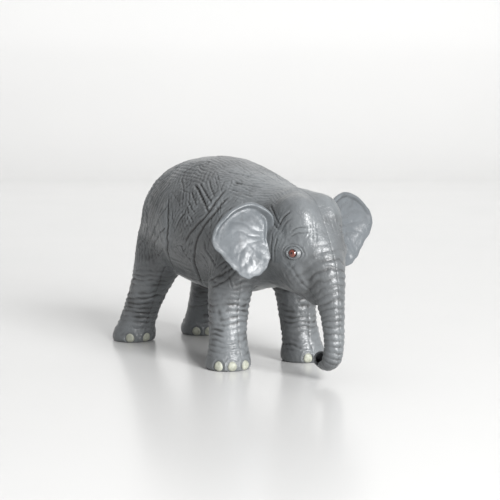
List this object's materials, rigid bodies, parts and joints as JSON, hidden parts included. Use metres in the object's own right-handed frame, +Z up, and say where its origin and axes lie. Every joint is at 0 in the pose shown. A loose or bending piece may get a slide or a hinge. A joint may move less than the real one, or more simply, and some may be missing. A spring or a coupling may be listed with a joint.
{
  "type": "elephant coin bank",
  "caption": "Free-standing moulded plastic elephant money box with a coin slot along the spine and a pull-out stopper in the belly",
  "frame": {"origin": "On the surface that the bank stands on, midway between the rear soles and the front of the trunk, in the plane of the spine", "axes": "+X forward to the trunk, +Y to the elephant's left, +Z up"},
  "size_m": [0.2259, 0.119, 0.1308],
  "materials": {
    "grey_skin": "semi-gloss moulded blue-grey plastic",
    "nail_paint": "cream paint on the toenails",
    "eye_bead": "glossy red-brown bead with a dark pupil",
    "stopper_rubber": "soft black vinyl"
  },
  "bodies": {
    "bank": {"right_shell": "grey_skin", "left_shell": "grey_skin", "underbody": "grey_skin", "right_ear": "grey_skin", "left_ear": "grey_skin", "tail": "grey_skin", "right_eye": "eye_bead", "left_eye": "eye_bead", "stopper_collar": "grey_skin"},
    "stopper": {"coin_stopper": "stopper_rubber"}
  },
  "joints": [
    {"name": "stopper_pull", "type": "slide", "parent": "bank", "child": "stopper", "axis": [0, 0, -1], "range_m": [0, 0.022]}
  ]
}
